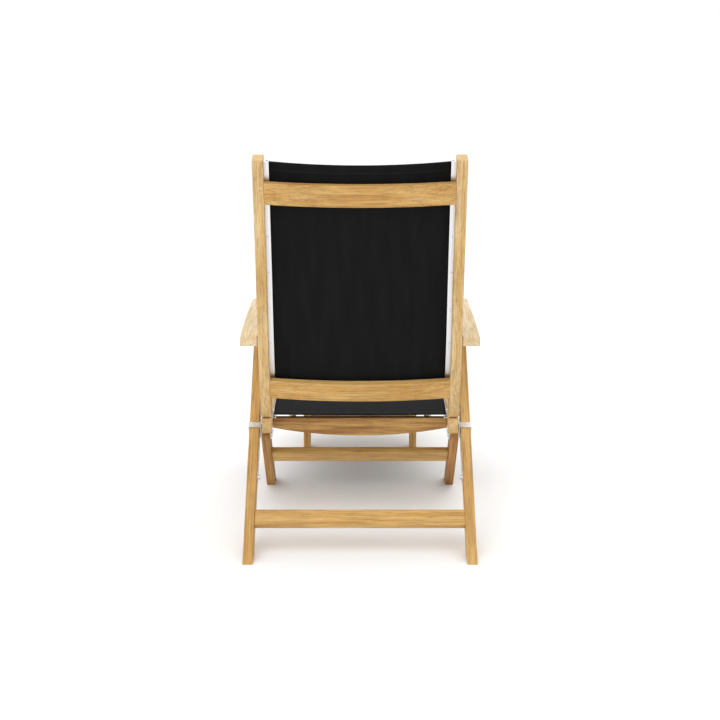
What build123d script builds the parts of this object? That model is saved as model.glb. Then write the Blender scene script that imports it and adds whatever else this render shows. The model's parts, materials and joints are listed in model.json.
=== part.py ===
from build123d import *
import os
from math import cos, radians, sin, tan

# Folding deck chair: teak frame, woven slings held in aluminium tracks, pull-out footrest.
# All sizes in mm.  +Z is up and the sitter faces +Y.  Side-view measures (y, z) run from the
# bottom of the rear feet; save() moves every piece so that the origin is under the middle.

OVERALL_LENGTH = 1160            # rear feet to the front of the footrest
SIDES = {"left": -1, "right": 1}

# Layers across the chair, as distances from the middle plane
FRAME_IN, FRAME_OUT = 247, 275.5   # seat rails and back stiles
LEG_IN, LEG_OUT = 281.5, 308.5     # outer legs
INNER_LEG_IN, INNER_LEG_OUT = 256, 280.5
ARM_IN, ARM_OUT, ARM_FRONT_OUT = 278, 324, 321
ARM_BOW = 1                        # the arm's outer edge swells by this at its middle
EDGE_RADIUS = 2.5                  # eased edges of the teak

# Seat frame
SEAT_REAR, SEAT_FRONT = 350, 860
RAIL_BOTTOM, RAIL_TOP = 250, 291
CROSSBAR_THICK = 22
CROSSBAR_TOP = 273.5
REAR_CROSSBAR_Y = 420
REAR_CROSSBAR_END, REAR_CROSSBAR_MIDDLE = 244, 221   # its underside, bowed down
MIDDLE_CROSSBAR_Y = 612
FRONT_CROSSBAR_Y = 834
CROSSBAR_BOTTOM = 229

# Sling tracks: a slit leads to a cavity that holds a rod in the sling's side hem
BACK_TRACK_IN = FRAME_IN - 13
SEAT_TRACK_IN = FRAME_IN - 9
TRACK_DEEP = 13
LIP, CAVITY_WIDE = 3, 4.5        # across the chair
SLIT, CAVITY = 2.0, 5.0          # across the cloth
SLING_THICK = 1.2
SLING_INSET = 3.2                # how far the cloth reaches into a track
ROD_NEAR, ROD_FAR, ROD_HALF = 3.4, 6.6, 1.6
SEAT_TRACK_BOTTOM, SEAT_TRACK_TOP = 273.6, 284.6
SEAT_TRACK_REAR, SEAT_TRACK_FRONT = 420, 832
SEAT_CAVITY_IN, SEAT_CAVITY_OUT = 240, 245.6     # the seat's slit opens upward
SEAT_CAVITY_LOW, SEAT_CAVITY_HIGH = 275.6, 280.6
SEAT_SLING_HALF, SEAT_SLING_BOTTOM = 245.2, 284.7
SCREW_RADIUS, SCREW_HEAD = 2.6, 1.4

# Back: rear face of the curved stiles in side view, from the hinge up
STILE_REAR = [(372.4, 278), (300, 420), (262, 540), (238, 670), (206, 810), (149, 1039)]
STILE_BOTTOM = 293.5
STILE_DEPTH = 45
BACK_TRACK_DEPTH = 24
BACK_SLING_LOW, BACK_SLING_HIGH = 0.095, 0.985
BACK_SCREW_X = 242
BACK_SCREW_FIRST, BACK_SCREW_STEP = 0.2, 0.13
BACK_RAIL_THICK = 20
BACK_RAILS = (                   # share up the stile, height, bow
    ("back_lower_rail", 0.154, 61, 15),
    ("back_top_rail", 0.884, 60, 20),
)
PLUG_X, PLUG_SHARES = 255, (0.122, 0.905)
PLUG_RADIUS, PLUG_PROUD = 3.5, 0.4
SUNK = 0.15                      # a head's foot lies this far in a curved face's hollow
HINGE_Y, HINGE_Z = 419, 295.5    # back to seat

# Outer legs, which run from the rear feet up to the front of the arms
LEG_TILT = 37.8
LEG_DEPTH = 45
LEG_TOP = 519.5
STIRRUP_ALONG = 448              # stirrup pivot, measured along the leg
GUIDE_LOW, GUIDE_HIGH = 277, 520
GUIDE_THICK = 2.2
GUIDE_WIDE, GUIDE_SLOT = 16, 8.4
STRAP_THICK, STRAP_GAP = 2.5, 0.5
STRAP_BELOW, STRAP_ABOVE = 11, 6.5   # along the leg, from the pivot

# Arms
ARM_BOTTOM, ARM_TOP = 522, 546
ARM_REAR, ARM_FRONT = 268, 760
ARM_PIVOT_Y, ARM_PIVOT_Z = 287.5, 532.5

# Inner legs
INNER_TILT = 44.3
INNER_PIVOT_Y, INNER_PIVOT_Z = 437.1, 220.5
INNER_DEPTH = 45

# Footrest
FOOTREST_REAR = 800
FOOTREST_BOTTOM, FOOTREST_TOP = 190, 225
FOOTREST_IN, FOOTREST_OUT = 184, 207
FOOTREST_BAR = 22
FOOT_PIVOT_Y, FOOT_PIVOT_Z = 1000, 172
FOOT_LEG_IN, FOOT_LEG_OUT = 159, 181.5
FOOT_LEG_DEPTH = 34
FOOT_EAR_IN = 182.2
CHANNEL_IN, CHANNEL_WEB, CHANNEL_OUT = 195, 207.5, 210
CHANNEL_BOTTOM, CHANNEL_TOP, CHANNEL_THICK = 186.5, 228.9, 2
CHANNEL_REAR = 602

PIN_RADIUS = 3.95
RUNNING_RADIUS = 4.02            # bore in the piece that turns on a pin

os.makedirs("parts", exist_ok=True)


def save(part, name):
    """Write one piece, moved so that the chair's origin is under its middle."""
    placed = part.moved(Location((0, -OVERALL_LENGTH / 2, 0)))
    placed.label = name
    export_step(placed, f"parts/{name}.step")


def plate(points, x0, x1, ease=0):
    """A flat piece cut to a side-view outline, between two distances across the chair."""
    with BuildPart() as piece:
        with BuildSketch(Plane.YZ.offset(x0)):
            with BuildLine():
                Polyline(*points, close=True)
            make_face()
        extrude(amount=x1 - x0)
        if ease:
            fillet(piece.edges(), ease)
    return piece.part


def block(x0, x1, y0, y1, z0, z1, ease=0):
    """A straight rectangular piece."""
    return plate([(y0, z0), (y1, z0), (y1, z1), (y0, z1)], x0, x1, ease)


def rod(y, z, x0, x1, radius):
    """A round piece lying across the chair."""
    with BuildPart() as piece:
        with BuildSketch(Plane.YZ.offset(x0)):
            with Locations((y, z)):
                Circle(radius)
        extrude(amount=x1 - x0)
    return piece.part


def rounded_bar(along, depth, x0, x1, pivot, angle):
    """A bar with a round end about its pivot, running at an angle to the floor below it."""
    run = (cos(radians(angle)), -sin(radians(angle)))
    across = (sin(radians(angle)) * depth / 2, cos(radians(angle)) * depth / 2)
    upper = (pivot[0] + across[0], pivot[1] + across[1])
    lower = (pivot[0] - across[0], pivot[1] - across[1])
    end = (pivot[0] - run[0] * depth / 2, pivot[1] - run[1] * depth / 2)
    with BuildPart() as bar:
        with BuildSketch(Plane.YZ.offset(x0)):
            with BuildLine():
                ThreePointArc(upper, end, lower)
                Polyline(
                    lower,
                    (lower[0] + run[0] * along, lower[1] + run[1] * along),
                    (upper[0] + run[0] * along, upper[1] + run[1] * along),
                    upper,
                )
            make_face()
        extrude(amount=x1 - x0)
        split(bisect_by=Plane.XY, keep=Keep.TOP)
        fillet(bar.edges().filter_by_position(Axis.Z, 1, 1000), EDGE_RADIUS)
        with BuildSketch(Plane.YZ.offset(x0)):
            with Locations(pivot):
                Circle(RUNNING_RADIUS)
        extrude(amount=x1 - x0, mode=Mode.SUBTRACT)
    return bar.part


def group(parts, name):
    """Several separate solids kept in one node."""
    save(Compound(children=parts), name)


# ---------------------------------------------------------------- leg geometry
leg_run = (cos(radians(LEG_TILT)), sin(radians(LEG_TILT)))
leg_under = (sin(radians(LEG_TILT)), -cos(radians(LEG_TILT)))


def on_leg(along, depth):
    """Side-view point a distance up the outer leg and a depth below its upper face."""
    return (
        along * leg_run[0] + depth * leg_under[0],
        along * leg_run[1] + depth * leg_under[1],
    )


stirrup_pivot = on_leg(STIRRUP_ALONG, LEG_DEPTH / 2)


def leg_strip(low, high, wide):
    """Corners of a strip centred on the outer leg's side."""
    near = LEG_DEPTH / 2 - wide / 2
    far = LEG_DEPTH / 2 + wide / 2
    return [on_leg(low, far), on_leg(high, far), on_leg(high, near), on_leg(low, near)]


# ---------------------------------------------------------------- stile geometry
stile_curve = Spline(*STILE_REAR)


def on_stile(share, depth):
    """Side-view point a share of the way up the stile and a depth in front of its rear face."""
    point = stile_curve @ share
    tangent = stile_curve % share
    return (point.X + tangent.Y * depth, point.Y - tangent.X * depth)


def stile_line(depth, low, high):
    """Points along the stile at one depth."""
    steps = 8
    return [on_stile(low + (high - low) * i / steps, depth) for i in range(steps + 1)]


def stile_band(x0, x1, rear, front, low=0.0, high=1.0):
    """A piece that follows the stile's curve between two depths."""
    with BuildPart() as band:
        with BuildSketch(Plane.YZ.offset(x0)):
            with BuildLine():
                behind = Spline(*stile_line(rear, low, high))
                ahead = Spline(*stile_line(front, low, high))
                Line(behind @ 0, ahead @ 0)
                Line(behind @ 1, ahead @ 1)
            make_face()
        extrude(amount=x1 - x0)
    return band.part


def stud(x, share, depth, radius, proud):
    """A round head standing out behind the stile's curve."""
    foot = on_stile(share, depth)
    tangent = stile_curve % share
    facing = Plane(origin=(x, foot[0], foot[1]), x_dir=(1, 0, 0), z_dir=(0, -tangent.Y, tangent.X))
    with BuildPart() as head:
        with BuildSketch(facing):
            Circle(radius)
        extrude(amount=proud)
    return head.part


# ---------------------------------------------------------------- seat frame
for side, sign in SIDES.items():
    with BuildPart() as seat_rail:
        add(
            block(
                sign * FRAME_IN,
                sign * FRAME_OUT,
                SEAT_REAR,
                SEAT_FRONT,
                RAIL_BOTTOM,
                RAIL_TOP,
                EDGE_RADIUS,
            )
        )
        add(rod(*stirrup_pivot, sign * FRAME_IN, sign * FRAME_OUT, RUNNING_RADIUS), mode=Mode.SUBTRACT)
    save(seat_rail.part, f"seat_rail_{side}")

with BuildPart() as seat_rear_crossbar:
    with BuildSketch(Plane.XZ.offset(-REAR_CROSSBAR_Y)):
        with BuildLine():
            Line((-FRAME_IN, CROSSBAR_TOP), (FRAME_IN, CROSSBAR_TOP))
            Line((FRAME_IN, CROSSBAR_TOP), (FRAME_IN, REAR_CROSSBAR_END))
            ThreePointArc(
                (FRAME_IN, REAR_CROSSBAR_END),
                (0, REAR_CROSSBAR_MIDDLE),
                (-FRAME_IN, REAR_CROSSBAR_END),
            )
            Line((-FRAME_IN, REAR_CROSSBAR_END), (-FRAME_IN, CROSSBAR_TOP))
        make_face()
    extrude(amount=-CROSSBAR_THICK)
    fillet(seat_rear_crossbar.faces().filter_by(Axis.Y).edges(), EDGE_RADIUS)
save(seat_rear_crossbar.part, "seat_rear_crossbar")

for name, y in (("seat_middle_crossbar", MIDDLE_CROSSBAR_Y), ("seat_front_crossbar", FRONT_CROSSBAR_Y)):
    save(
        block(-FRAME_IN, FRAME_IN, y, y + CROSSBAR_THICK, CROSSBAR_BOTTOM, CROSSBAR_TOP, EDGE_RADIUS),
        name,
    )

# ---------------------------------------------------------------- straight tracks and slings


def straight_track(x_in, x_out, y0, y1, bottom, name):
    """An aluminium track with a slit and a cavity along its inner side."""
    sign = 1 if x_out > 0 else -1
    middle = bottom + TRACK_DEEP / 2
    cavity = x_in + sign * LIP
    with BuildPart() as track:
        add(block(x_in, x_out, y0, y1, bottom, bottom + TRACK_DEEP))
        add(block(x_in, cavity, y0, y1, middle - SLIT / 2, middle + SLIT / 2), mode=Mode.SUBTRACT)
        add(
            block(cavity, cavity + sign * CAVITY_WIDE, y0, y1, middle - CAVITY / 2, middle + CAVITY / 2),
            mode=Mode.SUBTRACT,
        )
    save(track.part, name)


# The seat's sling lies over its tracks, and turns down into a slit in each one's top.
seat_rods = []
seat_screws = []
seat_track_middle = (SEAT_TRACK_BOTTOM + SEAT_TRACK_TOP) / 2
with BuildPart() as seat_sling:
    add(
        block(
            -SEAT_SLING_HALF,
            SEAT_SLING_HALF,
            SEAT_TRACK_REAR,
            SEAT_TRACK_FRONT,
            SEAT_SLING_BOTTOM,
            SEAT_SLING_BOTTOM + SLING_THICK,
        )
    )
    for sign in SIDES.values():
        add(
            block(
                sign * (SEAT_SLING_HALF - SLING_THICK),
                sign * SEAT_SLING_HALF,
                SEAT_TRACK_REAR,
                SEAT_TRACK_FRONT,
                SEAT_CAVITY_LOW + 1,
                SEAT_SLING_BOTTOM,
            )
        )
save(seat_sling.part, "seat_sling")

for side, sign in SIDES.items():

    def seat_strip(x0, x1, low, high, inset=0):
        """A straight strip the length of the seat's track."""
        return block(sign * x0, sign * x1, SEAT_TRACK_REAR + inset, SEAT_TRACK_FRONT - inset, low, high)

    with BuildPart() as seat_track:
        add(seat_strip(SEAT_TRACK_IN, FRAME_IN, SEAT_TRACK_BOTTOM, SEAT_TRACK_TOP))
        add(
            seat_strip(SEAT_CAVITY_IN, SEAT_CAVITY_OUT, SEAT_CAVITY_LOW, SEAT_CAVITY_HIGH),
            mode=Mode.SUBTRACT,
        )
        add(
            seat_strip(SEAT_CAVITY_OUT - SLIT, SEAT_CAVITY_OUT, SEAT_CAVITY_HIGH, SEAT_TRACK_TOP),
            mode=Mode.SUBTRACT,
        )
    save(seat_track.part, f"seat_track_{side}")
    seat_rods.append(
        seat_strip(SEAT_CAVITY_IN + 0.6, SEAT_CAVITY_IN + 3.8, SEAT_CAVITY_LOW + 1, SEAT_CAVITY_LOW + 4, 2)
    )
    for i in range(4):
        y = SEAT_TRACK_REAR + 40 + i * 110
        seat_screws.append(
            rod(
                y,
                seat_track_middle,
                sign * (SEAT_TRACK_IN - SCREW_HEAD),
                sign * SEAT_TRACK_IN,
                SCREW_RADIUS,
            )
        )
group(seat_rods, "seat_hem_rods")
group(seat_screws, "seat_track_screws")

# ---------------------------------------------------------------- back
for side, sign in SIDES.items():
    with BuildPart() as stile:
        add(stile_band(sign * FRAME_IN, sign * FRAME_OUT, 0, STILE_DEPTH))
        split(bisect_by=Plane.XY.offset(STILE_BOTTOM), keep=Keep.TOP)
        fillet(stile.edges(), EDGE_RADIUS)
        add(rod(ARM_PIVOT_Y, ARM_PIVOT_Z, sign * FRAME_IN, sign * FRAME_OUT, PIN_RADIUS), mode=Mode.SUBTRACT)
    save(stile.part, f"back_stile_{side}")

for name, share, tall, bow in BACK_RAILS:
    foot = on_stile(share, 0)
    tangent = stile_curve % share
    rail_plane = Plane(
        origin=(0, foot[0], foot[1]), x_dir=(1, 0, 0), z_dir=(0, tangent.X, tangent.Y)
    )
    with BuildPart() as back_rail:
        with BuildSketch(rail_plane.offset(-tall / 2)):
            with BuildLine():
                ThreePointArc((-FRAME_IN, 0), (0, -bow), (FRAME_IN, 0))
                Line((FRAME_IN, 0), (FRAME_IN, BACK_RAIL_THICK))
                ThreePointArc(
                    (FRAME_IN, BACK_RAIL_THICK),
                    (0, BACK_RAIL_THICK - bow),
                    (-FRAME_IN, BACK_RAIL_THICK),
                )
                Line((-FRAME_IN, BACK_RAIL_THICK), (-FRAME_IN, 0))
            make_face()
        extrude(amount=tall)
        fillet(back_rail.edges().filter_by(GeomType.CIRCLE), 4)
    save(back_rail.part, name)

track_middle = BACK_TRACK_DEPTH + TRACK_DEEP / 2
back_rods = []
back_screws = []
plugs = []
for side, sign in SIDES.items():
    with BuildPart() as back_track:
        add(
            stile_band(
                sign * BACK_TRACK_IN,
                sign * FRAME_IN,
                BACK_TRACK_DEPTH,
                BACK_TRACK_DEPTH + TRACK_DEEP,
                BACK_SLING_LOW,
                BACK_SLING_HIGH,
            )
        )
        add(
            stile_band(
                sign * BACK_TRACK_IN,
                sign * (BACK_TRACK_IN + LIP),
                track_middle - SLIT / 2,
                track_middle + SLIT / 2,
                BACK_SLING_LOW - 0.01,
                BACK_SLING_HIGH + 0.005,
            ),
            mode=Mode.SUBTRACT,
        )
        add(
            stile_band(
                sign * (BACK_TRACK_IN + LIP),
                sign * (BACK_TRACK_IN + LIP + CAVITY_WIDE),
                track_middle - CAVITY / 2,
                track_middle + CAVITY / 2,
                BACK_SLING_LOW - 0.01,
                BACK_SLING_HIGH + 0.005,
            ),
            mode=Mode.SUBTRACT,
        )
    save(back_track.part, f"back_track_{side}")
    back_rods.append(
        stile_band(
            sign * (BACK_TRACK_IN + ROD_NEAR),
            sign * (BACK_TRACK_IN + ROD_FAR),
            track_middle - ROD_HALF,
            track_middle + ROD_HALF,
            BACK_SLING_LOW + 0.005,
            BACK_SLING_HIGH - 0.005,
        )
    )
    for i in range(6):
        share = BACK_SCREW_FIRST + BACK_SCREW_STEP * i
        back_screws.append(
            stud(sign * BACK_SCREW_X, share, BACK_TRACK_DEPTH - SUNK, SCREW_RADIUS, SCREW_HEAD)
        )
    for share in PLUG_SHARES:
        plugs.append(stud(sign * PLUG_X, share, -SUNK, PLUG_RADIUS, PLUG_PROUD))
group(plugs, "rail_joint_plugs")
group(back_rods, "back_hem_rods")
group(back_screws, "back_track_screws")
save(
    stile_band(
        -BACK_TRACK_IN - SLING_INSET,
        BACK_TRACK_IN + SLING_INSET,
        track_middle - SLING_THICK / 2,
        track_middle + SLING_THICK / 2,
        BACK_SLING_LOW,
        BACK_SLING_HIGH,
    ),
    "back_sling",
)

# ---------------------------------------------------------------- back hinges
KNUCKLE_RADIUS = 3.5
HINGE_PIN_RADIUS = 1.6
LEAF_THICK = 2
LEAF_LONG = 34
LEAF_BOTTOM = RAIL_TOP + 0.1
LEAF_TOP = LEAF_BOTTOM + LEAF_THICK
LEAF_BORE = HINGE_PIN_RADIUS + 0.05
KNUCKLES = (249, 257, 265.5, 273.5)
HINGE_PIN_IN, HINGE_PIN_OUT = FRAME_IN - 4.5, FRAME_OUT - 1
KNUCKLE_GAP = 0.3
leaf_lean = radians(27.4)
hinge_pins = []
for side, sign in SIDES.items():
    with BuildPart() as seat_leaf:
        for i in (0, 2):
            inner = KNUCKLES[i]
            outer = KNUCKLES[i + 1]
            add(rod(HINGE_Y, HINGE_Z, sign * inner, sign * outer, KNUCKLE_RADIUS))
            add(block(sign * inner, sign * outer, HINGE_Y, HINGE_Y + 6, LEAF_BOTTOM, LEAF_TOP))
        add(
            block(
                sign * KNUCKLES[0],
                sign * KNUCKLES[3],
                HINGE_Y + 5,
                HINGE_Y + LEAF_LONG,
                LEAF_BOTTOM,
                LEAF_TOP,
            )
        )
        add(rod(HINGE_Y, HINGE_Z, sign * FRAME_IN, sign * FRAME_OUT, LEAF_BORE), mode=Mode.SUBTRACT)
    save(seat_leaf.part, f"seat_hinge_leaf_{side}")
    start = (HINGE_Y - 1.6, HINGE_Z + 1.2)
    up = (-sin(leaf_lean), cos(leaf_lean))
    ahead = (cos(leaf_lean) * LEAF_THICK, sin(leaf_lean) * LEAF_THICK)
    leaf_end = (start[0] + up[0] * LEAF_LONG, start[1] + up[1] * LEAF_LONG)
    neck_end = (start[0] + up[0] * 8, start[1] + up[1] * 8)
    neck_low = (start[0] + up[0] * 5, start[1] + up[1] * 5)
    inner = KNUCKLES[1] + KNUCKLE_GAP
    outer = KNUCKLES[2] - KNUCKLE_GAP
    with BuildPart() as back_leaf:
        add(rod(HINGE_Y, HINGE_Z, sign * inner, sign * outer, KNUCKLE_RADIUS))
        add(
            plate(
                [
                    start,
                    (start[0] + ahead[0], start[1] + ahead[1]),
                    (neck_end[0] + ahead[0], neck_end[1] + ahead[1]),
                    neck_end,
                ],
                sign * inner,
                sign * outer,
            )
        )
        add(
            plate(
                [
                    neck_low,
                    (neck_low[0] + ahead[0], neck_low[1] + ahead[1]),
                    (leaf_end[0] + ahead[0], leaf_end[1] + ahead[1]),
                    leaf_end,
                ],
                sign * KNUCKLES[0],
                sign * KNUCKLES[3],
            )
        )
        add(rod(HINGE_Y, HINGE_Z, sign * FRAME_IN, sign * FRAME_OUT, LEAF_BORE), mode=Mode.SUBTRACT)
    save(back_leaf.part, f"back_hinge_leaf_{side}")
    with BuildPart() as hinge_pin:
        add(rod(HINGE_Y, HINGE_Z, sign * HINGE_PIN_IN, sign * HINGE_PIN_OUT, HINGE_PIN_RADIUS))
        add(rod(HINGE_Y, HINGE_Z, sign * HINGE_PIN_IN, sign * (HINGE_PIN_IN + 4), 4.2))
    hinge_pins.append(hinge_pin.part)
group(hinge_pins, "back_hinge_pins")

# ---------------------------------------------------------------- outer legs
STRETCHER_WIDE, STRETCHER_THICK = 49, 18
STRETCHER_INSET = 1              # below the leg's upper face
STRETCHER_ALONG = 147
stretcher_low = STRETCHER_ALONG - STRETCHER_WIDE / 2
stretcher_high = STRETCHER_ALONG + STRETCHER_WIDE / 2
foot_length = LEG_DEPTH / sin(radians(LEG_TILT))
leg_top_y = LEG_TOP / tan(radians(LEG_TILT))
leg_outline = [(0, 0), (foot_length, 0), (leg_top_y + foot_length, LEG_TOP), (leg_top_y, LEG_TOP)]
pads = []
guide_screws = []
for side, sign in SIDES.items():
    with BuildPart() as outer_leg:
        add(plate(leg_outline, sign * LEG_IN, sign * LEG_OUT))
        fillet(outer_leg.edges().filter_by_position(Axis.Z, 1, 1000), EDGE_RADIUS)
    save(outer_leg.part, f"outer_leg_{side}")

    guide_bar = leg_strip(GUIDE_LOW, GUIDE_HIGH, GUIDE_WIDE)
    guide_slot = leg_strip(GUIDE_LOW + 22, GUIDE_HIGH - 22, GUIDE_SLOT)
    with BuildPart() as guide:
        add(plate(guide_bar, sign * (LEG_IN - GUIDE_THICK), sign * LEG_IN))
        add(plate(guide_slot, sign * (LEG_IN - GUIDE_THICK), sign * LEG_IN), mode=Mode.SUBTRACT)
    save(guide.part, f"leg_guide_{side}")
    for along, radius, proud in ((GUIDE_LOW + 10, 6.0, 5.5), (GUIDE_HIGH - 10, 4.0, 0.6)):
        y, z = on_leg(along, LEG_DEPTH / 2)
        face = LEG_IN - GUIDE_THICK
        guide_screws.append(rod(y, z, sign * (face - proud), sign * face, radius))
    pads.append(
        block(
            sign * (LEG_IN + 3),
            sign * (LEG_OUT - 3),
            leg_top_y + 8,
            leg_top_y + 56,
            LEG_TOP,
            LEG_TOP + 2,
        )
    )
group(guide_screws, "leg_guide_screws")
group(pads, "arm_rest_pads")

stretcher_corners = [
    on_leg(stretcher_low, STRETCHER_INSET),
    on_leg(stretcher_high, STRETCHER_INSET),
    on_leg(stretcher_high, STRETCHER_INSET + STRETCHER_THICK),
    on_leg(stretcher_low, STRETCHER_INSET + STRETCHER_THICK),
]
save(plate(stretcher_corners, -LEG_IN, LEG_IN, EDGE_RADIUS), "outer_leg_stretcher")

# ---------------------------------------------------------------- stirrups
CHEEK_OUT = LEG_IN - GUIDE_THICK - STRAP_GAP
CHEEK_IN = CHEEK_OUT - STRAP_THICK
STRAP_FAR = STRAP_GAP + STRAP_THICK
stirrup_bolts = []
for side, sign in SIDES.items():
    low = STIRRUP_ALONG - STRAP_BELOW
    high = STIRRUP_ALONG + STRAP_ABOVE
    outside = sign * (LEG_OUT + STRAP_FAR)

    def strap(x0, x1, top, bottom):
        """A length of the strap between two depths of the leg."""
        corners = [on_leg(low, top), on_leg(high, top), on_leg(high, bottom), on_leg(low, bottom)]
        return plate(corners, x0, x1)

    with BuildPart() as stirrup:
        add(strap(sign * CHEEK_IN, sign * CHEEK_OUT, -STRAP_FAR, LEG_DEPTH + STRAP_FAR))
        add(strap(sign * (LEG_OUT + STRAP_GAP), outside, -STRAP_FAR, LEG_DEPTH + STRAP_FAR))
        add(strap(sign * CHEEK_IN, outside, -STRAP_FAR, -STRAP_GAP))
        add(strap(sign * CHEEK_IN, outside, LEG_DEPTH + STRAP_GAP, LEG_DEPTH + STRAP_FAR))
        add(rod(*stirrup_pivot, sign * CHEEK_IN, sign * CHEEK_OUT, PIN_RADIUS), mode=Mode.SUBTRACT)
    save(stirrup.part, f"stirrup_{side}")
    with BuildPart() as bolt:
        add(rod(*stirrup_pivot, sign * (FRAME_IN - 3.5), sign * (LEG_IN - 0.4), PIN_RADIUS))
        add(rod(*stirrup_pivot, sign * (FRAME_IN - 4.5), sign * (FRAME_IN - 0.4), 6.5))
    stirrup_bolts.append(bolt.part)
group(stirrup_bolts, "stirrup_pivot_bolts")

# ---------------------------------------------------------------- arms
arm_bolts = []
for side, sign in SIDES.items():
    with BuildPart() as armrest:
        with BuildSketch(Plane.XY.offset(ARM_BOTTOM)):
            with BuildLine():
                Polyline(
                    (sign * ARM_OUT, ARM_REAR),
                    (sign * ARM_IN, ARM_REAR),
                    (sign * ARM_IN, ARM_FRONT),
                    (sign * ARM_FRONT_OUT, ARM_FRONT),
                )
                ThreePointArc(
                    (sign * ARM_FRONT_OUT, ARM_FRONT),
                    (sign * (ARM_OUT + ARM_BOW), (ARM_REAR + ARM_FRONT) / 2),
                    (sign * ARM_OUT, ARM_REAR),
                )
            make_face()
        extrude(amount=ARM_TOP - ARM_BOTTOM)
        fillet(armrest.edges().filter_by(Axis.Z).group_by(Axis.Y)[-1], 12)
        fillet(armrest.faces().filter_by(Axis.Z).edges(), EDGE_RADIUS)
        add(
            rod(ARM_PIVOT_Y, ARM_PIVOT_Z, sign * ARM_IN, sign * (ARM_IN + 26), RUNNING_RADIUS),
            mode=Mode.SUBTRACT,
        )
    save(armrest.part, f"armrest_{side}")
    with BuildPart() as bolt:
        add(rod(ARM_PIVOT_Y, ARM_PIVOT_Z, sign * FRAME_IN, sign * (ARM_IN + 25), PIN_RADIUS))
        add(rod(ARM_PIVOT_Y, ARM_PIVOT_Z, sign * (FRAME_OUT + 0.2), sign * (ARM_IN - 0.5), 8))
    arm_bolts.append(bolt.part)
group(arm_bolts, "arm_pivot_bolts")

# ---------------------------------------------------------------- inner legs
EAR_IN, EAR_OUT = 252.8, 255.4   # an ear under the rail, inside the leg
FLANGE_BOTTOM = RAIL_BOTTOM - 2.4
leg_pins = []
for side, sign in SIDES.items():
    save(
        rounded_bar(
            400,
            INNER_DEPTH,
            sign * INNER_LEG_IN,
            sign * INNER_LEG_OUT,
            (INNER_PIVOT_Y, INNER_PIVOT_Z),
            INNER_TILT,
        ),
        f"inner_leg_{side}",
    )
    with BuildPart() as bracket:
        add(
            block(
                sign * EAR_IN,
                sign * EAR_OUT,
                INNER_PIVOT_Y - 15,
                INNER_PIVOT_Y + 15,
                INNER_PIVOT_Z - 14,
                RAIL_BOTTOM,
            )
        )
        fillet(bracket.edges().filter_by(Axis.X).group_by(Axis.Z)[0], 12)
        add(
            block(
                sign * EAR_IN,
                sign * (FRAME_OUT - 1.5),
                INNER_PIVOT_Y - 15,
                INNER_PIVOT_Y + 34,
                FLANGE_BOTTOM,
                RAIL_BOTTOM,
            )
        )
        add(rod(INNER_PIVOT_Y, INNER_PIVOT_Z, sign * EAR_IN, sign * EAR_OUT, PIN_RADIUS), mode=Mode.SUBTRACT)
    save(bracket.part, f"inner_leg_bracket_{side}")
    with BuildPart() as pin:
        add(rod(INNER_PIVOT_Y, INNER_PIVOT_Z, sign * (EAR_IN - 3.2), sign * INNER_LEG_OUT, PIN_RADIUS))
        add(rod(INNER_PIVOT_Y, INNER_PIVOT_Z, sign * (EAR_IN - 3.2), sign * (EAR_IN - 0.1), 8))
    leg_pins.append(pin.part)
group(leg_pins, "inner_leg_pivot_pins")

inner_run = (cos(radians(INNER_TILT)), -sin(radians(INNER_TILT)))
inner_up = (sin(radians(INNER_TILT)), cos(radians(INNER_TILT)))


def on_inner_leg(along, height):
    """Side-view point down the inner leg from its pivot, and a height above its centreline."""
    return (
        INNER_PIVOT_Y + along * inner_run[0] + height * inner_up[0],
        INNER_PIVOT_Z + along * inner_run[1] + height * inner_up[1],
    )


inner_stretcher = plate(
    [on_inner_leg(87, -17.5), on_inner_leg(142, -17.5), on_inner_leg(142, 2.5), on_inner_leg(87, 2.5)],
    -INNER_LEG_IN,
    INNER_LEG_IN,
    EDGE_RADIUS,
)
save(inner_stretcher, "inner_leg_stretcher")

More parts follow.
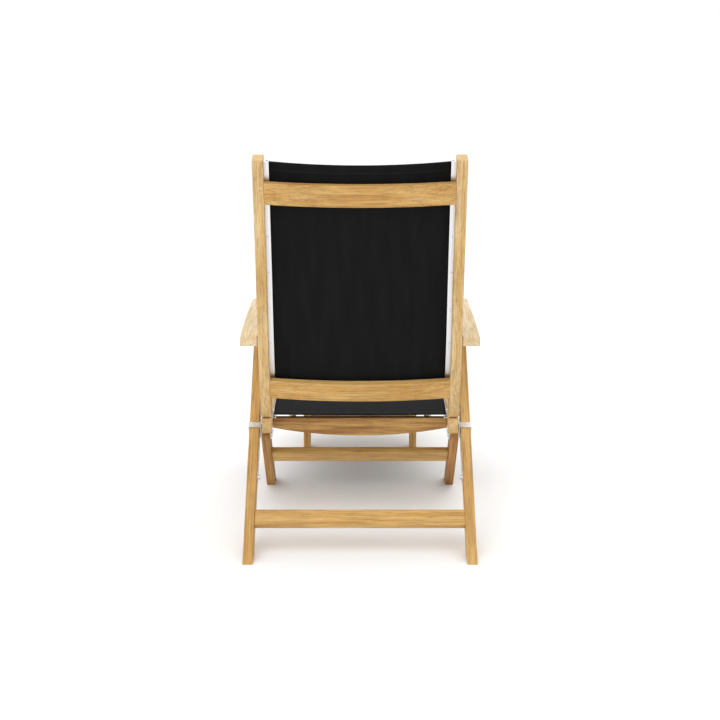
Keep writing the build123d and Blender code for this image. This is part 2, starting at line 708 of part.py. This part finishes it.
# ---------------------------------------------------------------- footrest
FOOT_TRACK_BOTTOM = 207
foot_sling_z = FOOT_TRACK_BOTTOM + TRACK_DEEP / 2
FOOT_TRACK_IN = FOOTREST_IN - 13
foot_sling_half = FOOT_TRACK_IN + SLING_INSET
bar_front = OVERALL_LENGTH - FOOTREST_BAR
foot_pins = []
for side, sign in SIDES.items():
    save(
        block(
            sign * FOOTREST_IN,
            sign * FOOTREST_OUT,
            FOOTREST_REAR,
            OVERALL_LENGTH,
            FOOTREST_BOTTOM,
            FOOTREST_TOP,
            EDGE_RADIUS,
        ),
        f"footrest_rail_{side}",
    )
    straight_track(
        sign * FOOT_TRACK_IN,
        sign * FOOTREST_IN,
        FOOTREST_REAR + FOOTREST_BAR + 1,
        bar_front - 1,
        FOOT_TRACK_BOTTOM,
        f"footrest_track_{side}",
    )
    with BuildPart() as channel:
        add(
            block(
                sign * CHANNEL_IN,
                sign * CHANNEL_OUT,
                CHANNEL_REAR,
                SEAT_FRONT - 2,
                CHANNEL_BOTTOM,
                CHANNEL_TOP,
            )
        )
        add(
            block(
                sign * CHANNEL_IN,
                sign * CHANNEL_WEB,
                CHANNEL_REAR,
                SEAT_FRONT - 2,
                CHANNEL_BOTTOM + CHANNEL_THICK,
                CHANNEL_TOP - CHANNEL_THICK,
            ),
            mode=Mode.SUBTRACT,
        )
    save(channel.part, f"footrest_channel_{side}")
    with BuildPart() as foot_bracket:
        add(
            block(
                sign * FOOT_EAR_IN,
                sign * FOOTREST_IN,
                FOOT_PIVOT_Y - 14,
                FOOT_PIVOT_Y + 14,
                FOOT_PIVOT_Z - 13,
                FOOT_TRACK_BOTTOM - 1,
            )
        )
        fillet(foot_bracket.edges().filter_by(Axis.X).group_by(Axis.Z)[0], 8)
        add(
            rod(FOOT_PIVOT_Y, FOOT_PIVOT_Z, sign * FOOT_EAR_IN, sign * FOOTREST_IN, PIN_RADIUS),
            mode=Mode.SUBTRACT,
        )
    save(foot_bracket.part, f"footrest_leg_bracket_{side}")
    with BuildPart() as pin:
        add(rod(FOOT_PIVOT_Y, FOOT_PIVOT_Z, sign * (FOOT_LEG_IN - 3), sign * (FOOTREST_IN + 2), PIN_RADIUS))
        add(rod(FOOT_PIVOT_Y, FOOT_PIVOT_Z, sign * (FOOT_LEG_IN - 3.5), sign * (FOOT_LEG_IN - 0.5), 7))
    foot_pins.append(pin.part)
    save(
        rounded_bar(
            250,
            FOOT_LEG_DEPTH,
            sign * FOOT_LEG_IN,
            sign * FOOT_LEG_OUT,
            (FOOT_PIVOT_Y, FOOT_PIVOT_Z),
            90,
        ),
        f"footrest_leg_{side}",
    )
group(foot_pins, "footrest_leg_pins")
for name, y in (("footrest_rear_bar", FOOTREST_REAR), ("footrest_front_bar", bar_front)):
    save(
        block(
            -FOOTREST_IN,
            FOOTREST_IN,
            y,
            y + FOOTREST_BAR,
            FOOTREST_BOTTOM + 2,
            FOOTREST_TOP - 2,
            EDGE_RADIUS,
        ),
        name,
    )
save(
    block(
        -foot_sling_half,
        foot_sling_half,
        FOOTREST_REAR + FOOTREST_BAR + 1,
        bar_front - 1,
        foot_sling_z - SLING_THICK / 2,
        foot_sling_z + SLING_THICK / 2,
    ),
    "footrest_sling",
)
save(
    block(-FOOT_LEG_IN, FOOT_LEG_IN, FOOT_PIVOT_Y - 9, FOOT_PIVOT_Y + 9, 75, 105, EDGE_RADIUS),
    "footrest_leg_stretcher",
)
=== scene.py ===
import json
import math

import bpy
import numpy as np
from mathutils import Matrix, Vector


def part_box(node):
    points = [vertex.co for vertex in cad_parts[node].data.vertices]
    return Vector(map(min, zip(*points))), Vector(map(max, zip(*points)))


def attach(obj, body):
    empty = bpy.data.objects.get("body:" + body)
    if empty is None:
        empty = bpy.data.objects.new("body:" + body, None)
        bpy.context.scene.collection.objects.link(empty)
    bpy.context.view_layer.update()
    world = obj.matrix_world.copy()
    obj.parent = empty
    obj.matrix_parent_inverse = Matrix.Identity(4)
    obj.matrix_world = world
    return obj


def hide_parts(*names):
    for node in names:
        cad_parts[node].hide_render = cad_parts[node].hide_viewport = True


# Folding deck chair.  Metres, +Z up, the sitter faces +Y; the origin is on the floor under the
# middle of the chair.  The CAD frame stays as it is; the cloth, its hems and stitches are made here.

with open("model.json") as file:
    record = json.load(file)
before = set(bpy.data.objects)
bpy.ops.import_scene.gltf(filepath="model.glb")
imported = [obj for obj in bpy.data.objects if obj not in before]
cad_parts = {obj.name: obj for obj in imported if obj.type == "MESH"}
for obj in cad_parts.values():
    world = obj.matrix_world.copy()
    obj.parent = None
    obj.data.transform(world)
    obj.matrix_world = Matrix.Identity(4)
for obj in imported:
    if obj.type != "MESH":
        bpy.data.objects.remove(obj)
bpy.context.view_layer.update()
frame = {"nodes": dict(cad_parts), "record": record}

# ------------------------------------------------------------------ camera, floor and light
CAMERA_BACK = 3.786            # behind the rear feet
CAMERA_HEIGHT = 1.555
CAMERA_PITCH = 14.8            # degrees down
LENS = 77.5                    # on a 36 mm sensor

camera_data = bpy.data.cameras.new("camera")
camera_data.lens = LENS
camera_data.sensor_width = 36
camera = bpy.data.objects.new("camera", camera_data)
camera.location = (0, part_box("outer_leg_left")[0][1] - CAMERA_BACK, CAMERA_HEIGHT)
camera.rotation_euler = (math.radians(90 - CAMERA_PITCH), 0, 0)
bpy.context.collection.objects.link(camera)
bpy.context.scene.camera = camera
bpy.context.scene.view_settings.view_transform = "Standard"


def area_light(name, place, target, size, power):
    """A soft square light that looks at a point."""
    data = bpy.data.lights.new(name, "AREA")
    data.shape = "SQUARE"
    data.size = size
    data.energy = power
    light = bpy.data.objects.new(name, data)
    light.location = place
    light.rotation_euler = (Vector(target) - Vector(place)).to_track_quat("-Z", "Y").to_euler()
    bpy.context.collection.objects.link(light)


LIGHT_POWER = 34                 # watts
WORLD_STRENGTH = 1.1
area_light("key_light", (-1.6, -3.2, 3.6), (0, 0, 0.5), 2.6, LIGHT_POWER)
area_light("top_light", (0.4, 0.6, 4.2), (0, 0, 0.4), 3.2, LIGHT_POWER)

world = bpy.data.worlds.new("studio")
bpy.context.scene.world = world
world.use_nodes = True
world.node_tree.nodes["Background"].inputs["Color"].default_value = (1, 1, 1, 1)
world.node_tree.nodes["Background"].inputs["Strength"].default_value = WORLD_STRENGTH


# ------------------------------------------------------------------ materials
def new_material(name, **surface):
    """A node material with values set on its shader's own sockets."""
    material = bpy.data.materials.new(name)
    material.use_nodes = True
    shader = material.node_tree.nodes["Principled BSDF"]
    for socket, value in surface.items():
        shader.inputs[socket.replace("_", " ")].default_value = value
    return material, material.node_tree, shader


def node(tree, kind, **settings):
    """A node with its properties and unlinked inputs set by name."""
    made = tree.nodes.new(kind)
    for key, value in settings.items():
        if key in made.inputs:
            made.inputs[key].default_value = value
        else:
            setattr(made, key, value)
    return made


def scaled(tree, source, scale):
    """The source vector scaled along each axis."""
    mapping = node(tree, "ShaderNodeMapping")
    mapping.inputs["Scale"].default_value = scale
    tree.links.new(source, mapping.inputs["Vector"])
    return mapping.outputs["Vector"]


def noise(tree, vector, scale, detail=3.0, roughness=0.5):
    """A noise pattern's factor."""
    made = node(tree, "ShaderNodeTexNoise", Scale=scale, Detail=detail, Roughness=roughness)
    tree.links.new(vector, made.inputs["Vector"])
    return made.outputs["Fac"]


def ramp(tree, factor, stops):
    """Colours or greys along a factor, as (position, colour) stops."""
    made = node(tree, "ShaderNodeValToRGB")
    elements = made.color_ramp.elements
    while len(elements) < len(stops):
        elements.new(0.5)
    for element, (position, colour) in zip(elements, stops):
        element.position = position
        element.color = (*colour, 1)
    tree.links.new(factor, made.inputs["Fac"])
    return made.outputs["Color"]


def mixed(tree, how, factor, first, second):
    """Two colours blended; the factor is a number or an output."""
    made = node(tree, "ShaderNodeMix", data_type="RGBA", blend_type=how)
    for socket, value in ((0, factor), (6, first), (7, second)):
        if isinstance(value, bpy.types.NodeSocket):
            tree.links.new(value, made.inputs[socket])
        else:
            made.inputs[socket].default_value = value
    return made.outputs[2]


def bump(tree, shader, height, strength, distance):
    """A bump on the shader from a height pattern."""
    made = node(tree, "ShaderNodeBump", Strength=strength, Distance=distance)
    tree.links.new(height, made.inputs["Height"])
    tree.links.new(made.outputs["Normal"], shader.inputs["Normal"])


def grey(value):
    """A grey of one value."""
    return (value, value, value)


def teak(name, turn, light, dark, offset):
    """Oiled teak. turn brings the board's grain onto Y; offset picks another part of the log."""
    material, tree, shader = new_material(name, Roughness=0.5, Specular_IOR_Level=0.35)
    place = node(tree, "ShaderNodeTexCoord")
    along = node(tree, "ShaderNodeMapping")
    along.inputs["Rotation"].default_value = turn
    along.inputs["Location"].default_value = offset
    tree.links.new(place.outputs["Object"], along.inputs["Vector"])
    grain = along.outputs["Vector"]
    broad = noise(tree, scaled(tree, grain, (1, 0.05, 1)), 62, 5, 0.6)
    bands = noise(tree, scaled(tree, grain, (1, 0.028, 1)), 260, 4, 0.62)
    pores = noise(tree, scaled(tree, grain, (1, 0.022, 1)), 1050, 2, 0.5)
    tone = noise(tree, scaled(tree, grain, (1, 0.5, 1)), 5.5, 2, 0.5)
    middle = tuple(0.5 * (a + b) for a, b in zip(light, dark))
    base = ramp(tree, broad, [(0.36, dark), (0.5, middle), (0.62, light)])
    streaks = ramp(tree, bands, [(0.40, grey(0.66)), (0.54, grey(1.0))])
    lines = ramp(tree, pores, [(0.36, grey(0.58)), (0.45, grey(1.0))])
    drift = ramp(tree, tone, [(0.35, (0.90, 0.86, 0.80)), (0.65, (1.06, 1.05, 1.04))])
    colour = mixed(tree, "MULTIPLY", 0.75, base, streaks)
    colour = mixed(tree, "MULTIPLY", 0.8, colour, lines)
    colour = mixed(tree, "MULTIPLY", 1.0, colour, drift)
    tree.links.new(colour, shader.inputs["Base Color"])
    gloss = ramp(tree, bands, [(0.35, grey(0.60)), (0.65, grey(0.44))])
    tree.links.new(gloss, shader.inputs["Roughness"])
    bump(tree, shader, pores, 0.25, 0.0003)
    return material


YARN = 0.0011                    # the width of one yarn


def woven(name):
    """Black coated-yarn mesh in a plain weave, laid out by the sheet's UVs in metres."""
    material, tree, shader = new_material(
        name, Roughness=0.68, Specular_IOR_Level=0.04, Sheen_Weight=0.004, Sheen_Roughness=0.45
    )
    place = node(tree, "ShaderNodeTexCoord").outputs["UV"]
    wave_scale = math.pi / 10 / (2 * YARN)    # a wave texture repeats every pi/10 at scale 1
    warp = node(tree, "ShaderNodeTexWave", bands_direction="X", Scale=wave_scale)
    weft = node(tree, "ShaderNodeTexWave", bands_direction="Y", Scale=wave_scale)
    tree.links.new(place, warp.inputs["Vector"])
    tree.links.new(place, weft.inputs["Vector"])
    over = node(tree, "ShaderNodeTexChecker", Scale=1 / (2 * YARN))
    tree.links.new(place, over.inputs["Vector"])
    height = mixed(tree, "MIX", over.outputs["Fac"], warp.outputs["Color"], weft.outputs["Color"])
    faint = noise(tree, scaled(tree, place, (1, 0.15, 1)), 34, 3, 0.55)
    # The cloth colour is darker where the weave is low: painted shade in the hollows between the yarns.
    cloth = ramp(tree, height, [(0.05, grey(0.004)), (0.6, (0.0096, 0.0096, 0.0104)), (1.0, grey(0.015))])
    streak = ramp(tree, faint, [(0.35, grey(0.86)), (0.65, grey(1.12))])
    tree.links.new(mixed(tree, "MULTIPLY", 1.0, cloth, streak), shader.inputs["Base Color"])
    bump(tree, shader, height, 0.5, 0.0004)
    return material


def metal(name, colour, roughness, stretch):
    """Metal with fine lines drawn along one direction."""
    material, tree, shader = new_material(name, Metallic=1.0, Roughness=roughness)
    place = node(tree, "ShaderNodeTexCoord").outputs["Object"]
    lines = noise(tree, scaled(tree, place, stretch), 900, 2, 0.5)
    tint = ramp(tree, lines, [(0.3, tuple(0.9 * c for c in colour)), (0.7, colour)])
    tree.links.new(tint, shader.inputs["Base Color"])
    rough = ramp(tree, lines, [(0.3, grey(roughness * 0.85)), (0.7, grey(roughness * 1.15))])
    tree.links.new(rough, shader.inputs["Roughness"])
    bump(tree, shader, lines, 0.06, 0.0001)
    return material


def plastic(name):
    """Matt black moulded plastic with a fine texture."""
    material, tree, shader = new_material(name, Roughness=0.55)
    place = node(tree, "ShaderNodeTexCoord").outputs["Object"]
    grit = noise(tree, place, 1400, 2, 0.6)
    tree.links.new(ramp(tree, grit, [(0.3, grey(0.016)), (0.7, grey(0.026))]), shader.inputs["Base Color"])
    bump(tree, shader, grit, 0.15, 0.0002)
    return material


def pale_floor():
    """A plain pale studio floor."""
    material, tree, shader = new_material("studio_floor", Roughness=0.9, Specular_IOR_Level=0.1)
    place = node(tree, "ShaderNodeTexCoord").outputs["Object"]
    soft = noise(tree, place, 1.5, 2, 0.5)
    tree.links.new(ramp(tree, soft, [(0.3, grey(0.90)), (0.7, grey(0.92))]), shader.inputs["Base Color"])
    return material


# Grain directions in the side view, as degrees above +Y, and one across the chair
LEG_TILT = 37.8
INNER_TILT = -44.3
STILE_TILT = 106.0
UPRIGHT = 90.0


def along_side(degrees):
    """The turn that brings a side-view direction onto Y."""
    return (-math.radians(degrees), 0, 0)


ACROSS = (0, 0, math.radians(90))
# The teak tones below are one wood, made lighter or darker part by part to match how the light falls on
# each part: painted light and painted shade.
LIT_CREAM = (0.74, 0.62, 0.42)
PALE = (0.73, 0.54, 0.29)
HONEY = (0.66, 0.42, 0.15)
AMBER = (0.60, 0.36, 0.115)
GOLD = (0.54, 0.29, 0.075)
SHADED_BROWN = (0.34, 0.145, 0.032)

teak_pieces = {
    "back_stile_left": (STILE_TILT, PALE, HONEY, (0.0, 0.0, 0.1)),
    "back_stile_right": (STILE_TILT, PALE, HONEY, (0.4, 0.3, 0.7)),
    "outer_leg_left": (LEG_TILT, AMBER, GOLD, (0.9, 0.1, 0.2)),
    "outer_leg_right": (LEG_TILT, HONEY, GOLD, (0.5, 0.8, 1.1)),
    # Painted shade: the inner legs get a darker pair because their faces turn down and away from the
    # light.
    "inner_leg_left": (INNER_TILT, GOLD, SHADED_BROWN, (0.2, 0.5, 0.3)),
    "inner_leg_right": (INNER_TILT, GOLD, SHADED_BROWN, (0.8, 0.2, 0.6)),
    # Painted light: the armrests get the lightest pair because their tops face the light from above.
    "armrest_left": (0, LIT_CREAM, PALE, (0.3, 0.9, 0.4)),
    "armrest_right": (0, LIT_CREAM, PALE, (1.3, 0.4, 0.9)),
    "seat_rail_left": (0, PALE, HONEY, (0.7, 0.0, 0.8)),
    "seat_rail_right": (0, PALE, HONEY, (1.7, 0.6, 0.3)),
    "footrest_rail_left": (0, HONEY, GOLD, (0.1, 0.7, 1.4)),
    "footrest_rail_right": (0, HONEY, GOLD, (1.1, 1.7, 0.4)),
    "footrest_leg_left": (UPRIGHT, HONEY, GOLD, (0.6, 0.4, 0.9)),
    "footrest_leg_right": (UPRIGHT, HONEY, GOLD, (1.6, 0.9, 0.1)),
    "back_top_rail": (None, HONEY, GOLD, (0.1, 0.2, 0.3)),
    "back_lower_rail": (None, HONEY, GOLD, (0.5, 0.9, 1.3)),
    # Painted shade: the rear crossbar gets a darker pair for the shade the seat rails and stiles cast on
    # it.
    "seat_rear_crossbar": (None, AMBER, SHADED_BROWN, (0.9, 0.3, 0.2)),
    "seat_middle_crossbar": (None, HONEY, GOLD, (0.3, 1.3, 0.8)),
    "seat_front_crossbar": (None, HONEY, GOLD, (0.2, 0.1, 1.7)),
    "outer_leg_stretcher": (None, HONEY, GOLD, (1.5, 0.6, 0.5)),
    "inner_leg_stretcher": (None, HONEY, GOLD, (0.8, 1.8, 0.6)),
    "footrest_front_bar": (None, HONEY, GOLD, (1.2, 0.8, 0.2)),
    "footrest_rear_bar": (None, HONEY, GOLD, (0.4, 1.1, 1.1)),
    "footrest_leg_stretcher": (None, HONEY, GOLD, (0.7, 0.2, 1.9)),
}


def coat(name, material):
    """Give a CAD node one material in all its slots."""
    slots = frame["nodes"][name].data.materials
    for i in range(len(slots)):
        slots[i] = material


for name, (tilt, light, dark, offset) in teak_pieces.items():
    turn = ACROSS if tilt is None else along_side(tilt)
    coat(name, teak(f"teak_{name}", turn, light, dark, offset))

aluminium = metal("aluminium_satin", (0.86, 0.86, 0.87), 0.36, (1, 0.02, 0.02))
steel = metal("stainless_steel", (0.72, 0.72, 0.74), 0.26, (0.05, 1, 1))
black_plastic = plastic("black_plastic")
mesh_cloth = woven("black_sling_mesh")
by_slot = {"aluminium": aluminium, "steel": steel, "plastic": black_plastic}
for entry in frame["record"]["subparts"]:
    if entry["material_slot"] in by_slot:
        coat(entry["node"], by_slot[entry["material_slot"]])

# ------------------------------------------------------------------ floor
FLOOR_HALF = 40.0
floor_mesh = bpy.data.meshes.new("floor")
corners = [(FLOOR_HALF * i, FLOOR_HALF * j, 0) for i, j in ((-1, -1), (1, -1), (1, 1), (-1, 1))]
floor_mesh.from_pydata(corners, [], [(0, 1, 2, 3)])
floor = bpy.data.objects.new("floor", floor_mesh)
floor.data.materials.append(pale_floor())
bpy.context.collection.objects.link(floor)

# ------------------------------------------------------------------ slings
CAD_CLOTH_THICK = 0.0012
CLOTH_THICK = 0.0011
HEM_WIDE = 0.028
HEM_THICK = 0.0012
STITCH_PITCH = 0.0045
STITCH_LONG = 0.0032
STITCH_RADIUS = 0.00035
STITCH_SIDES = 6
STITCH_END = 0.006               # from the cloth's side to the first and last stitch
ROW_GAP = 0.13                   # between the two rows, as a share of the hem
LOW_SEAM, HIGH_SEAM = 0.80, 0.93     # the first row, as a share of the hem from its end
HEM_GAP = 0.0001                 # between the cloth and its folded hem
CLOTH_COUNTS = (48, 96)          # squares across and along
HEM_COUNTS = (48, 4)
LINE_POINTS = 97
FLAT_SLING_HEIGHT = 0.02         # a CAD sling lower than this lies flat


def mesh_piece(name, points, faces, material, uvs=None):
    """A smooth-shaded mesh object made from plain lists."""
    mesh = bpy.data.meshes.new(name)
    mesh.from_pydata(points, [], faces)
    mesh.update()
    if uvs is not None:
        layer = mesh.uv_layers.new(name="cloth")
        for loop in mesh.loops:
            layer.data[loop.index].uv = uvs[loop.vertex_index]
    for polygon in mesh.polygons:
        polygon.use_smooth = True
    piece = bpy.data.objects.new(name, mesh)
    piece.data.materials.append(material)
    bpy.context.collection.objects.link(piece)
    return piece


def side_line(node_name, count):
    """The middle line of a CAD sling in side view, evenly spaced, from its low or rear end."""
    places = np.array([v.co[1:] for v in frame["nodes"][node_name].data.vertices])
    low, high = places.min(0), places.max(0)
    if high[1] - low[1] < FLAT_SLING_HEIGHT:
        flat_height = high[1] - CAD_CLOTH_THICK / 2
        return [(y, flat_height) for y in np.linspace(low[0], high[0], count)]
    fit = np.polyfit(places[:, 1], places[:, 0], 6)
    heights = np.linspace(low[1] + 0.001, high[1] - 0.001, 400)
    fine = np.stack([np.polyval(fit, heights), heights], 1)
    run = np.concatenate([[0], np.cumsum(np.linalg.norm(np.diff(fine, axis=0), axis=1))])
    even = np.linspace(0, run[-1], count)
    return list(zip(np.interp(even, run, fine[:, 0]), np.interp(even, run, fine[:, 1])))


def sling_surface(line, half, belly, lift, side):
    """A function from (across, share along) to a point on the sagging cloth, lifted off it.

    side is +1 where the belly hangs to the left of the line's run, -1 to the right.
    """
    points = np.array(line)
    tangents = np.gradient(points, axis=0)
    tangents /= np.linalg.norm(tangents, axis=1)[:, None]
    shares = np.linspace(0, 1, len(points))

    def place(x, share):
        y, z = (np.interp(share, shares, points[:, i]) for i in (0, 1))
        ty, tz = (np.interp(share, shares, tangents[:, i]) for i in (0, 1))
        deep = belly[0] + (belly[1] - belly[0]) * share
        away = side * (deep * (1 - (x / half) ** 2) - lift)
        return (x, y - tz * away, z + ty * away)

    return place


def cloth_grid(name, place, x_range, share_range, length, counts, thickness, body):
    """A sheet of cloth on a surface, with its thickness."""
    across, along = counts
    row = across + 1
    points, uvs = [], []
    for j in range(along + 1):
        share = share_range[0] + (share_range[1] - share_range[0]) * j / along
        for i in range(across + 1):
            x = x_range[0] + (x_range[1] - x_range[0]) * i / across
            points.append(place(x, share))
            uvs.append((x, share * length))
    faces = [
        (a, a + 1, a + row + 1, a + row)
        for a in (j * row + i for j in range(along) for i in range(across))
    ]
    piece = mesh_piece(name, points, faces, mesh_cloth, uvs)
    solid = piece.modifiers.new("thickness", "SOLIDIFY")
    solid.thickness = thickness
    solid.offset = 0
    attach(piece, body)
    return piece


def stitches(name, place, half, share, share_step, body):
    """Two rows of short raised stitches across a hem."""
    sides = STITCH_SIDES
    points, faces = [], []
    count = int(2 * (half - STITCH_END) / STITCH_PITCH)
    for row in (share, share + share_step):
        for i in range(count):
            x = -half + STITCH_END + i * STITCH_PITCH
            start = len(points)
            for end in (0, 0.3, 0.7, 1):
                swell = STITCH_RADIUS * (0.45 if end in (0, 1) else 1)
                centre = place(x + end * STITCH_LONG, row)
                for k in range(sides):
                    turn = 2 * math.pi * k / sides
                    y = centre[1] + swell * math.cos(turn)
                    points.append((centre[0], y, centre[2] + swell * math.sin(turn)))
            for ring in range(3):
                for k in range(sides):
                    a = start + ring * sides + k
                    b = start + ring * sides + (k + 1) % sides
                    faces.append((a, b, b + sides, a + sides))
            faces.append(tuple(start + k for k in reversed(range(sides))))
            faces.append(tuple(start + 3 * sides + k for k in range(sides)))
    piece = mesh_piece(name, points, faces, black_plastic)
    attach(piece, body)
    return piece


def sling(name, node_name, body, belly, side):
    """A sling with a folded hem and two rows of stitches at each free end."""
    line = side_line(node_name, LINE_POINTS)
    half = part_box(node_name)[1][0]
    length = float(np.linalg.norm(np.diff(np.array(line), axis=0), axis=1).sum())
    surface = sling_surface(line, half, belly, 0.0, side)
    hem_lift = -0.5 * (CLOTH_THICK + HEM_THICK) - HEM_GAP
    hem_surface = sling_surface(line, half, belly, hem_lift, side)
    stitch_surface = sling_surface(line, half, belly, hem_lift - 0.5 * HEM_THICK, side)
    face_surface = sling_surface(line, half, belly, 0.5 * CLOTH_THICK, side)
    hem_share = HEM_WIDE / length
    row_gap = ROW_GAP * hem_share
    across = (-half, half)
    for end, shares, seam in (
        ("low", (0.0, hem_share), hem_share * LOW_SEAM),
        ("high", (1 - hem_share, 1.0), 1 - hem_share * HIGH_SEAM),
    ):
        hem_name = f"{name}_{end}_hem"
        cloth_grid(hem_name, hem_surface, across, shares, length, HEM_COUNTS, HEM_THICK, body)
        stitches(f"{name}_{end}_stitches", stitch_surface, half, seam, row_gap, body)
        stitches(f"{name}_{end}_face_stitches", face_surface, half, seam, row_gap, body)
    cloth = cloth_grid(name, surface, across, (0.0, 1.0), length, CLOTH_COUNTS, CLOTH_THICK, body)
    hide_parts(node_name)


# belly is how deep the cloth hangs at its low or rear end and at its high or front end
for body, belly, side in (
    ("back", (0.019, 0.028), 1),
    ("seat", (0.0015, 0.0015), -1),
    ("footrest", (0.002, 0.002), -1),
):
    sling(f"{body}_sling_cloth", f"{body}_sling", body, belly, side)
